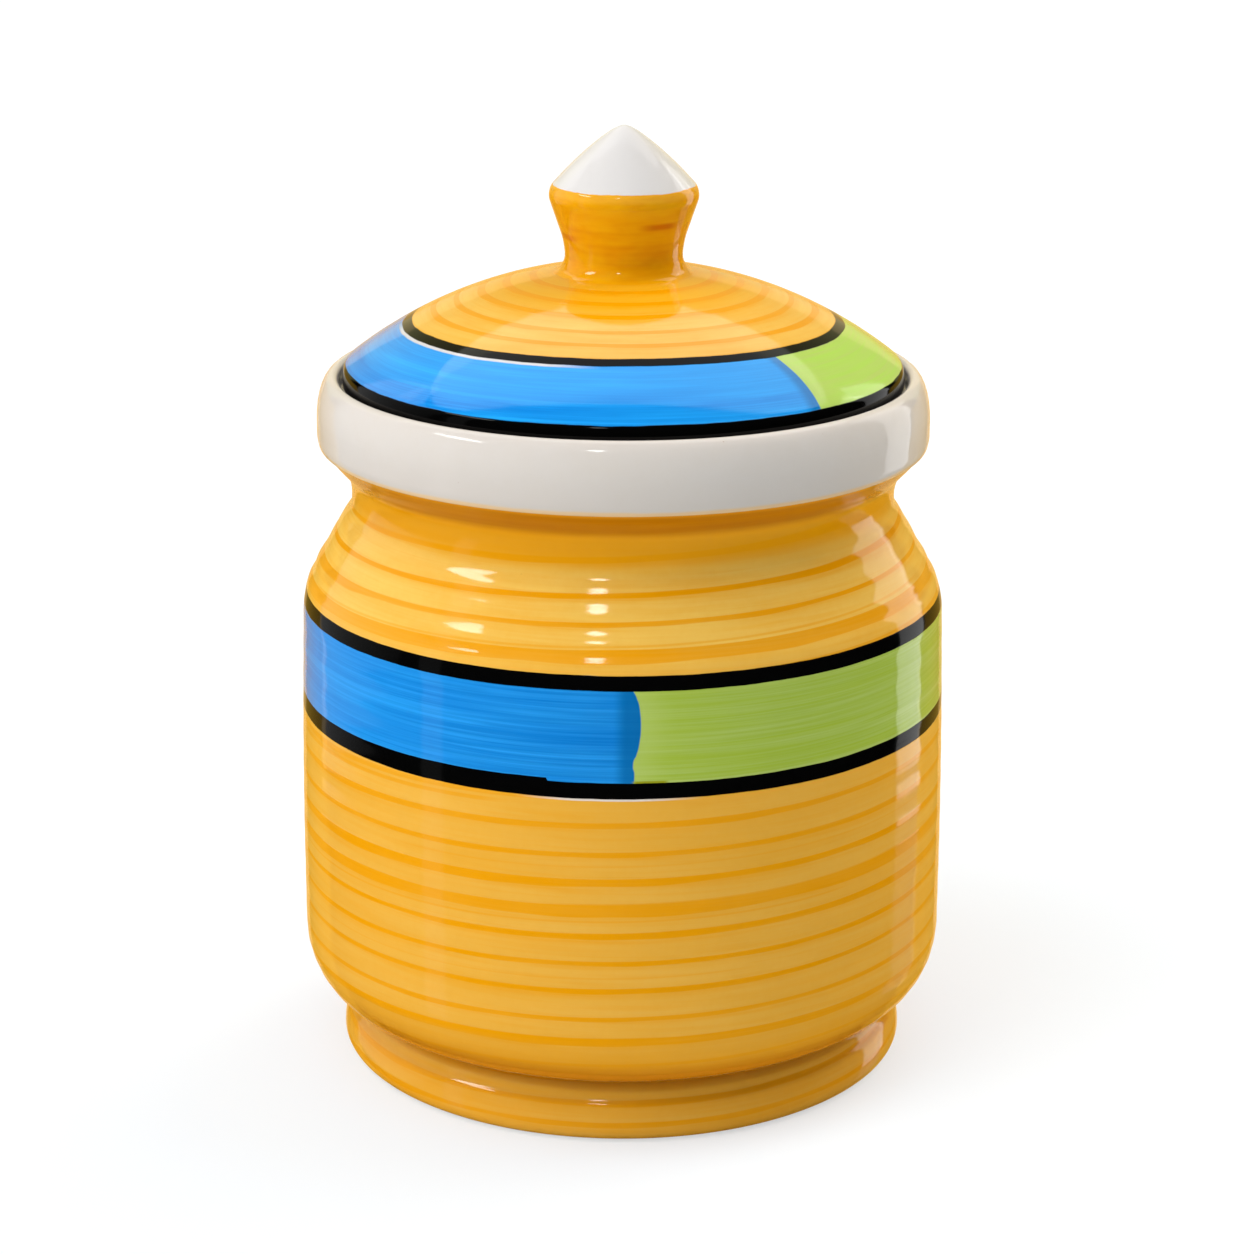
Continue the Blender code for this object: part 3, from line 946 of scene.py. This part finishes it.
# Burnt orange at the top of the foot: partly pooled glaze, partly painted shade of the groove.
colour = foot_glaze.paint(colour, BURNT_ORANGE, height.above(FOOT_HEIGHT - 0.0008, 0.0026) * 0.62)
colour = specked(foot_glaze, colour)
dry = (height + foot_glaze.bristle(height, 6, 0.02, 67) * 0.0001).below(0.0006, 0.0003)
colour = foot_glaze.paint(colour, CLAY, dry * 0.8)
foot_yellow_glaze = foot_glaze.fire(colour, relief=amount * STROKE_RELIEF)

# %% [markdown]
# ## The white collar
# The collar is left white: the clear glaze over pale clay, faintly cloudy and specked with
# iron. At its foot a little of the yellow has crept up.

# %% Glaze the collar
COLLAR_WHITE = (0.645, 0.595, 0.550)
COLLAR_CREAM = (0.625, 0.560, 0.490)
COLLAR_SHADE = (0.540, 0.480, 0.430)
collar_glaze = Glaze("collar_white_glaze")
cloud = collar_glaze.grain(0.016, 3) * 0.22 + collar_glaze.grain(0.0022, 3) * 0.16 + 0.22
colour = collar_glaze.paint(COLLAR_WHITE, COLLAR_CREAM, cloud)
# Painted shade: the collar is darker towards its foot, where it rounds under.
shade = collar_glaze.height.below(collar_low.z + 0.0050, 0.0110)
colour = collar_glaze.paint(colour, COLLAR_SHADE, shade * 0.60)
colour = specked(collar_glaze, colour, spacing=0.0045, size=0.00014, share=0.35, cover=0.40)
creep = collar_glaze.height + collar_glaze.bristle(collar_glaze.height, 5, 0.02, 71) * 0.00015
colour = collar_glaze.paint(colour, PALE_YELLOW, creep.below(collar_low.z + 0.0005, 0.0006) * 0.5)
collar_white_glaze = collar_glaze.fire(colour)

# %% [markdown]
# ## Painting the lid
# The lid repeats the jar: orange rings on yellow, and at its edge a blue and green band
# between black lines. Its pattern goes by the radius, because it was painted from above.

# %% Paint the lid's rings
LID_STROKES = (
    (0.0090, 0.0005, 0.5), (0.0131, 0.0006, 0.8), (0.0178, 0.0007, 1.0), (0.0229, 0.0007, 1.0),
    (0.0278, 0.0007, 1.0), (0.0328, 0.0006, 0.9), (0.0367, 0.0007, 1.0), (0.0405, 0.0006, 0.6),
    (0.0460, 0.0006, 0.4), (0.0510, 0.0006, 0.4), (0.0560, 0.0006, 0.4),
)
LID_SPAN = (0.0080, 0.0565)
LID_SPACING = 0.0049
lid_glaze = Glaze("painted_lid_glaze")
angle = lid_glaze.angle
sideways = angle.math("SINE").math("ABSOLUTE")
radius = lid_glaze.radius - sideways * sideways * lid_glaze.radius.above(0.0370, 0.0100) * 0.0013
phase, half_width, weight = stroke_fields(radius, LID_STROKES, LID_SPAN)
phase = phase + lid_glaze.bristle(radius, 1.0, 0.02, 81, 1) * 0.05
amount, hairs, streaks = strokes(lid_glaze, radius * -1, -LID_SPACING, phase, half_width, weight, 83)
# Painted reflection: towards its edge the lid's ground is painted cream, for the round light it mirrors.
colour = yellow_ground(lid_glaze, radius, amount, hairs, streaks, 83, radius.above(0.0285, 0.0080) * 0.55)
# Painted reflection and shade of the knob: the ground near it is amber.
colour = lid_glaze.paint(colour, LID_AMBER, radius.below(0.0270, 0.0120) * 0.75)
colour = lid_glaze.paint(colour, ORANGE, amount * radius.below(0.0290, 0.0060))

# %% [markdown]
# ## The lid's blue and green
# The band on the lid is brighter than the jar's, and its blue is paler inside a ring, a painted
# reflection of the round light over the lid. It ends in a bowed edge where the blue pooled, and
# a thread of white was left beside the inner black line.

# %% Paint the lid's fields and lines
LID_LINE = (0.0402, 0.0421)
LID_THREAD_END = 0.0427
LID_BLACK = 0.0546
LID_FIELD_TURN = 43.1
bow = (radius - 0.0486) * (1 / 0.0060)
edge = bow * bow * math.radians(-1.2) + math.radians(LID_FIELD_TURN)
side = (angle - edge).math("SINE")
green_cover = side.above(0, 0.007)
blues = field(lid_glaze, radius, BLUE, LID_BLUE, LID_LIGHT_BLUE, 91, 0.05)
# Painted reflection: the blue is paler inside a ring, where the round light over the lid is mirrored.
blues = lid_glaze.paint(blues, LID_LIGHT_BLUE, radius.below(0.0498, 0.0040) * 0.32)
blues = lid_glaze.paint(blues, POOLED_BLUE, side.between(-0.046, 0.10, 0.050) * 0.72)
greens = field(lid_glaze, radius, LID_DEEP_GREEN, LID_GREEN, PALE_GREEN, 97, 0.10)
greens = lid_glaze.paint(greens, PALE_GREEN, side.below(0.10, 0.20) * 0.5)
colour = lid_glaze.paint(colour, lid_glaze.paint(blues, greens, green_cover), radius.above(0.0412, 0.0002))
wobble = stray(lid_glaze, radius, 3, 0.00018, 101)
drawn = radius + wobble
gap = arc(angle, -85, -13, 0.3) * drawn.between(LID_LINE[1] - 0.0003, LID_THREAD_END, 0.0003)
colour = lid_glaze.paint(colour, WHITE, gap * 0.9)
colour = specked(lid_glaze, colour)
rim_line = (lid_glaze.radius + wobble).above(LID_BLACK, 0.00015)
black_cover = drawn.between(*LID_LINE, 0.0002).math("MAXIMUM", rim_line)
colour = lid_glaze.paint(colour, BLACK, black_cover)
painted_lid_glaze = fire_outlined(lid_glaze, colour, amount, black_cover)

# %% [markdown]
# ## Painting the knob
# The knob was dipped in a deeper yellow, and the tip was wiped and left white, with a wavy
# edge. Where the glaze ran thick there are burnt orange dashes.

# %% Paint the knob
KNOB_WHITE_EDGE = 0.1768
KNOB_YELLOW = (0.790, 0.320, 0.0015)
KNOB_PALE = (0.820, 0.400, 0.004)
KNOB_WHITE = (0.665, 0.640, 0.622)
DASH_RED = (0.560, 0.110, 0.001)
KNOB_DASHES = (
    (0.1697, 0.1709, 18, 48, 0.80), (0.1667, 0.1679, -80, -50, 0.60), (0.1688, 0.1696, -60, 20, 0.14),
    (0.1660, 0.1668, -50, 60, 0.16), (0.1648, 0.1655, -70, 50, 0.12),
)
knob_glaze = Glaze("knob_yellow_glaze")
height, angle = knob_glaze.height, knob_glaze.angle
hairs = knob_glaze.bristle(height, 1.4, 0.0005, 111, 3)
streaks = knob_glaze.bristle(height, 1.6, 0.0024, 113, 2)
colour = knob_glaze.paint(KNOB_YELLOW, KNOB_PALE, streaks * 0.6 + 0.4)
toasted = hairs.above(0.2, 1.0) * 0.06 + streaks.below(-0.2, 1.2) * 0.12
colour = knob_glaze.paint(colour, BURNT_ORANGE, toasted)
colour = marks(knob_glaze, colour, DASH_RED, height, angle, KNOB_DASHES, blur=0.0008, fade=0.35)
rim = height + knob_glaze.bristle(height, 2.2, 0.05, 117, 3) * 0.00022
colour = knob_glaze.paint(colour, PALE_YELLOW, rim.between(0.1752, KNOB_WHITE_EDGE, 0.0010) * 0.25)
colour = knob_glaze.paint(colour, KNOB_WHITE, rim.above(KNOB_WHITE_EDGE, 0.00015))
colour = specked(knob_glaze, colour, spacing=0.005, size=0.00012, share=0.25, cover=0.40)
knob_yellow_glaze = knob_glaze.fire(colour)

# %% [markdown]
# ## Coating and placing
# The painted glaze covers the outside, plain white covers the inside, and the faces that rest
# on something stay bare. Then each piece takes the place of its measured solid and travels
# with the jar or with the lid.

# %% Glaze and place the pieces
INWARD_SLOPE = -0.15
LEVEL_SLOPE = 0.2
TREAD_SLOPE = -0.5
FLOOR_REACH = 0.02


def faces_inward(face):
    middle = face.calc_center_median()
    away = math.hypot(middle.x, middle.y)
    return face.normal.x * middle.x + face.normal.y * middle.y < INWARD_SLOPE * away


def coat(piece, pick):
    """Gives each face the number of its material."""
    for face in piece[1].faces:
        face.material_index = pick(face, face.calc_center_median())


def body_coat(face, middle):
    """White inside, on the jar's floor and under it, and the painting everywhere else."""
    level = abs(face.normal.z) > LEVEL_SLOPE and middle.z < BASE_TOP + FLOOR_REACH
    return int(faces_inward(face) or level and math.hypot(middle.x, middle.y) < PLUG_RADIUS)


def foot_coat(face, middle):
    """White inside the ring, bare clay on the tread, and yellow everywhere else."""
    return 2 if faces_inward(face) else int(middle.z < WELD and face.normal.z < TREAD_SLOPE)


def lid_coat(face, middle):
    """The painting on top and round the edge, bare clay on the seat, and white below."""
    seated = middle.z < LID_SEAT + WELD
    at_edge = middle.z > LID_SEAT + WELD and math.hypot(middle.x, middle.y) > LID_RADIUS - RIM_WIDTH
    return 0 if face.normal.z > 0 or at_edge else 2 if seated else 1


coat(body, body_coat)
coat(foot, foot_coat)
coat(lid, lid_coat)
body = fired(body, painted_body_glaze, inside_glaze)
foot = fired(foot, foot_yellow_glaze, bare_clay, inside_glaze)
collar = fired(collar, collar_white_glaze)
lid = fired(lid, painted_lid_glaze, inside_glaze, bare_clay)
ring = fired(ring, inside_glaze)
knob = fired(knob, knob_yellow_glaze)

for piece, carrier, node, slot in (
    (body, "jar", "jar_body", "yellow_glaze"),
    (foot, "jar", "foot_ring", "foot_glaze"),
    (collar, "jar", "rim_collar", "white_glaze"),
    (lid, "lid", "lid_dome", "blue_glaze"),
    (ring, "lid", "lid_flange", "flange_glaze"),
    (knob, "lid", "lid_knob", "knob_glaze"),
):
    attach(piece, carrier)
    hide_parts(node)
    print(node, "->", piece.name, "on", carrier)

# %% [markdown]
# ## The table and the backdrop
# The jar stands on a plain white sheet, wide enough to be its own backdrop. In the photograph
# the sheet is lit almost to white and keeps only a soft shadow near the foot, so the camera
# sees part of its light as plain white. The tint is a little cool, against the warm light that
# the yellow jar throws on it. The sheet doesn't show in the gloss.

# %% Lay the floor
FLOOR_RADIUS = 6.0
FLOOR_WHITE = (0.830, 0.905, 0.970)
CAMERA_WHITE = 0.58
PAPER_ROUGHNESS = 0.9
floor_bm = bmesh.new()
bmesh.ops.create_circle(floor_bm, cap_ends=True, segments=96, radius=FLOOR_RADIUS)
floor_mesh = bpy.data.meshes.new("floor")
floor_bm.to_mesh(floor_mesh)
floor_bm.free()
floor = bpy.data.objects.new("floor", floor_mesh)
bpy.context.scene.collection.objects.link(floor)
floor_paper = bpy.data.materials.new("floor_paper")
floor_paper.use_nodes = True
tree = floor_paper.node_tree
paper = tree.nodes["Principled BSDF"]
paper.inputs["Base Color"].default_value = (*FLOOR_WHITE, 1)
paper.inputs["Roughness"].default_value = PAPER_ROUGHNESS
paper.inputs["Specular IOR Level"].default_value = 0
rays = tree.nodes.new("ShaderNodeLightPath")
glow = tree.nodes.new("ShaderNodeEmission")
mix = tree.nodes.new("ShaderNodeMixShader")
seen = Field(tree, rays.outputs["Is Camera Ray"])
plug(seen * CAMERA_WHITE, mix.inputs[0])
tree.links.new(paper.outputs[0], mix.inputs[1])
tree.links.new(glow.outputs[0], mix.inputs[2])
tree.links.new(mix.outputs[0], tree.nodes["Material Output"].inputs["Surface"])
floor_mesh.materials.append(floor_paper)
floor.visible_glossy = False
print("floor", FLOOR_RADIUS * 2, "m across")

# %% [markdown]
# ## The lamps that the glaze mirrors
# A glossy pot is a mirror of its room. These soft boxes show in the gloss alone, so each
# highlight can be put where it belongs: a strip of window on the right, two small lamps for
# the sparkle, and a warm wall and a pale glow behind, which tint the edges of the jar.

# %% Set the lamps that the glaze mirrors
AIM = Vector((0, 0, 0.09))
BOX_DISTANCE = 2.0


def toward(azimuth, elevation):
    """The direction of a lamp as the jar sees it, in degrees. Azimuth 0 is the viewer's side."""
    turn, rise = math.radians(azimuth), math.radians(elevation)
    return Vector((math.sin(turn) * math.cos(rise), -math.cos(turn) * math.cos(rise), math.sin(rise)))


def hung(name, light):
    """The lamp's object, in the scene but unseen by the camera."""
    obj = bpy.data.objects.new(name, light)
    obj.visible_camera = False
    bpy.context.scene.collection.objects.link(obj)
    return obj


def face_jar(obj, azimuth, elevation, distance, roll=0):
    """Moves a lamp into this direction, facing the jar, and rolls it about its own axis."""
    away = toward(azimuth, elevation)
    obj.location = AIM + away * distance
    upright = away.to_track_quat("Z", "Y").to_matrix()
    obj.rotation_euler = (upright @ Matrix.Rotation(math.radians(roll), 3, "Z")).to_euler()


def wide_as(degrees):
    """The metres that a soft box has to measure to look this many degrees wide."""
    return 2 * BOX_DISTANCE * math.tan(math.radians(degrees / 2))


def panel(name, width, height, radiance, shape="RECTANGLE", colour=(1, 1, 1)):
    """A soft box of this size in metres that shows in the glaze alone."""
    light = bpy.data.lights.new(name, "AREA")
    light.shape = shape
    light.color = colour
    light.size, light.size_y = width, height
    area = light.size * light.size_y * (math.pi / 4 if shape == "ELLIPSE" else 1)
    light.energy = radiance * math.pi * area
    obj = hung(name, light)
    obj.visible_diffuse = False
    return obj


def box_lamp(name, azimuth, elevation, width, height, radiance, roll=0, **look):
    """A soft box in this direction, as wide and high as these angles in degrees."""
    box = panel(name, wide_as(width), wide_as(height), radiance, **look)
    face_jar(box, azimuth, elevation, BOX_DISTANCE, roll)


# Each soft box: azimuth, elevation, width and height in degrees, then its radiance.
box_lamp("key_box", -74, 40, 22, 7, 9, shape="ELLIPSE")
box_lamp("small_box", -11.5, 45, 6, 5, 14, shape="ELLIPSE")
box_lamp("right_strip", 121.8, 10, 19.8, 59, 1.4)
box_lamp("right_strip_upper", 132.5, 20, 2.5, 36, 1.4)
box_lamp("right_strip_foot", 121, -26, 16, 13, 0.25)
box_lamp("right_window_high", 136.4, 28, 10, 18, 1.1, roll=30)
box_lamp("left_window_high", -134, 33.4, 10, 26, 0.5, roll=-26)
box_lamp("left_sliver", -69, 5, 9, 70, 0.30)
box_lamp("back_wall", 180, -21, 94, 50, 0.50, colour=(1, 0.60, 0.07))
box_lamp("back_edge", 180, -10, 44, 56, 0.40, colour=(1, 0.66, 0.36))
box_lamp("back_glow", 180, 29, 76, 50, 0.52, colour=(0.90, 0.86, 0.38))

# %% [markdown]
# ## A window that fades
# On the left the photograph mirrors a wide window: its far side is a sharp edge, and it fades
# out slowly towards the viewer. One wide lamp does that, when it shines mostly straight ahead,
# because the pot sees its near end at a slant.

# %% Hang the fading window
WINDOW_AZIMUTH = -131
WINDOW_ELEVATION = 13
WINDOW_HEIGHT = 65
WINDOW_WIDTH = 2.4
WINDOW_EDGE = 0.09
WINDOW_SPREAD = math.radians(112)
WINDOW_RADIANCE = 0.52
window = panel("left_window", WINDOW_WIDTH, wide_as(WINDOW_HEIGHT), WINDOW_RADIANCE)
face_jar(window, WINDOW_AZIMUTH, WINDOW_ELEVATION, BOX_DISTANCE)
window_turn = math.radians(WINDOW_AZIMUTH)
window_side = Vector((math.cos(window_turn), math.sin(window_turn), 0))
window.location += window_side * (WINDOW_WIDTH / 2 - WINDOW_EDGE)
window.data.spread = WINDOW_SPREAD
wide = math.tan(WINDOW_SPREAD / 2)
window.data.energy *= (wide - WINDOW_SPREAD / 2) / wide
print("window energy", round(window.data.energy, 2), "W")

# %% [markdown]
# ## The round light over the lid
# The lid mirrors a big round light that hangs over the table, a little behind the jar. It is
# brighter towards its far side, so two discs lie one over the other.

# %% Hang the round light
OVER_HEIGHT = 1.2
# Each disc: its middle, its width, its depth and its radiance.
OVER_DISCS = (
    ("over_box", (0.04, 0.78), 2.02, 1.32, 1.1),
    ("over_box_far", (0.03, 0.945), 1.92, 0.99, 1.2),
)
for name, middle, width, depth, radiance in OVER_DISCS:
    disc = panel(name, width, depth, radiance, shape="ELLIPSE")
    disc.location = (*middle, KNOB_TOP + OVER_HEIGHT)

print("round light", len(OVER_DISCS), "discs,", OVER_HEIGHT, "m above the knob")

# %% [markdown]
# ## The soft light that shows the colours
# The colours themselves need broad and even light. Wide, far lamps from above and from both
# sides, which don't show in the gloss, bring out each colour about as it was mixed, brighter
# on the left than on the right.

# %% Set the soft light that shows the colours
SKY_DISTANCE = 3.0
AIR_STRENGTH = 0.02


def sky_lamp(name, azimuth, elevation, spread, strength, colour=(1, 1, 1)):
    """Far, wide, even light for the colours alone: strength is what a surface that faces it gets."""
    light = bpy.data.lights.new(name, "SUN")
    light.energy = strength * math.pi
    light.angle = math.radians(spread)
    light.color = colour
    sky = hung(name, light)
    sky.visible_glossy = False
    face_jar(sky, azimuth, elevation, SKY_DISTANCE)


# Each sky: azimuth, elevation and spread in degrees, then its strength.
sky_lamp("top_sky", 0, 90, 80, 0.41)
sky_lamp("left_low_sky", -65, 12, 50, 0.365)
sky_lamp("left_edge_sky", -132, 12, 50, 0.12, colour=(1, 0.84, 0.58))
sky_lamp("left_high_sky", -65, 50, 50, 0.42)
sky_lamp("front_sky", -30, 50, 50, 0.20)
sky_lamp("right_high_sky", 120, 50, 50, 0.32)
sky_lamp("right_low_sky", 132, 12, 50, 0.68, colour=(1, 0.84, 0.58))
sky_lamp("back_sky", 180, 12, 50, 0.14)

world = bpy.data.worlds.new("studio_air")
bpy.context.scene.world = world
world.use_nodes = True
air = world.node_tree.nodes["Background"]
air.inputs["Color"].default_value = (1, 1, 1, 1)
air.inputs["Strength"].default_value = AIR_STRENGTH
world.cycles_visibility.glossy = False

# %% [markdown]
# ## The camera
# The photograph looks down on the jar by about seventeen degrees with a long lens. The few
# numbers were found by matching the painted circles.

# %% Place the camera
IMAGE_SIDE = 1254
FOCAL_PIXELS = 3329.3
CAMERA_DISTANCE = 0.6421
CAMERA_HEIGHT = 0.2855
CAMERA_PITCH = math.radians(17.198)
CAMERA_ROLL = math.radians(0.179)
AXIS_OFFSET_PIXELS = 4.3
SENSOR_WIDTH = 36
camera_data = bpy.data.cameras.new("photo_camera")
camera_data.sensor_width = SENSOR_WIDTH
camera_data.lens = FOCAL_PIXELS / IMAGE_SIDE * SENSOR_WIDTH
camera_data.shift_x = AXIS_OFFSET_PIXELS / IMAGE_SIDE
camera = bpy.data.objects.new("photo_camera", camera_data)
camera.matrix_world = (
    Matrix.Translation((0, -CAMERA_DISTANCE, CAMERA_HEIGHT))
    @ Matrix.Rotation(math.pi / 2 - CAMERA_PITCH, 4, "X")
    @ Matrix.Rotation(CAMERA_ROLL, 4, "Z")
)
bpy.context.scene.collection.objects.link(camera)
bpy.context.scene.camera = camera
bpy.context.scene.view_settings.view_transform = "Standard"
print("lens", round(camera_data.lens, 1), "mm")
